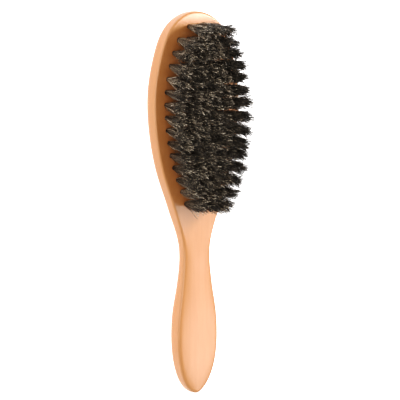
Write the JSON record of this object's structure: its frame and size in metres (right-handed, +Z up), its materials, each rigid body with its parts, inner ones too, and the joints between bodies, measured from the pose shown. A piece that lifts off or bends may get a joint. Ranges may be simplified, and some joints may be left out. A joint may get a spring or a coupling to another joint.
{
  "type": "body dry brush",
  "caption": "Wooden body dry brush: an oval drilled head with rows of dark natural bristle tufts, a slim neck and a swelling handle.",
  "frame": {"origin": "under the middle of the brush, on the flat back it rests on", "axes": "+X along the brush towards the head, +Y across its width, +Z up out of the bristled front face"},
  "size_m": [0.22, 0.0586, 0.0326],
  "materials": {
    "beech": "satin clear lacquer",
    "beech_lid": "satin clear lacquer",
    "bristle": "natural bristle fibres",
    "wire": "drawn"
  },
  "bodies": {
    "root": {"bristle_board": "beech", "back_lid": "beech_lid", "tuft_row_01": "bristle", "draw_wire_01": "wire", "tuft_row_02": "bristle", "draw_wire_02": "wire", "tuft_row_03": "bristle", "draw_wire_03": "wire", "tuft_row_04": "bristle", "draw_wire_04": "wire", "tuft_row_05": "bristle", "draw_wire_05": "wire", "tuft_row_06": "bristle", "draw_wire_06": "wire", "tuft_row_07": "bristle", "draw_wire_07": "wire", "tuft_row_08": "bristle", "draw_wire_08": "wire", "tuft_row_09": "bristle", "draw_wire_09": "wire", "tuft_row_10": "bristle", "draw_wire_10": "wire", "tuft_row_11": "bristle", "draw_wire_11": "wire", "tuft_row_12": "bristle", "draw_wire_12": "wire", "tuft_row_13": "bristle", "draw_wire_13": "wire", "tuft_row_14": "bristle", "draw_wire_14": "wire", "tuft_row_15": "bristle", "draw_wire_15": "wire"}
  },
  "joints": []
}
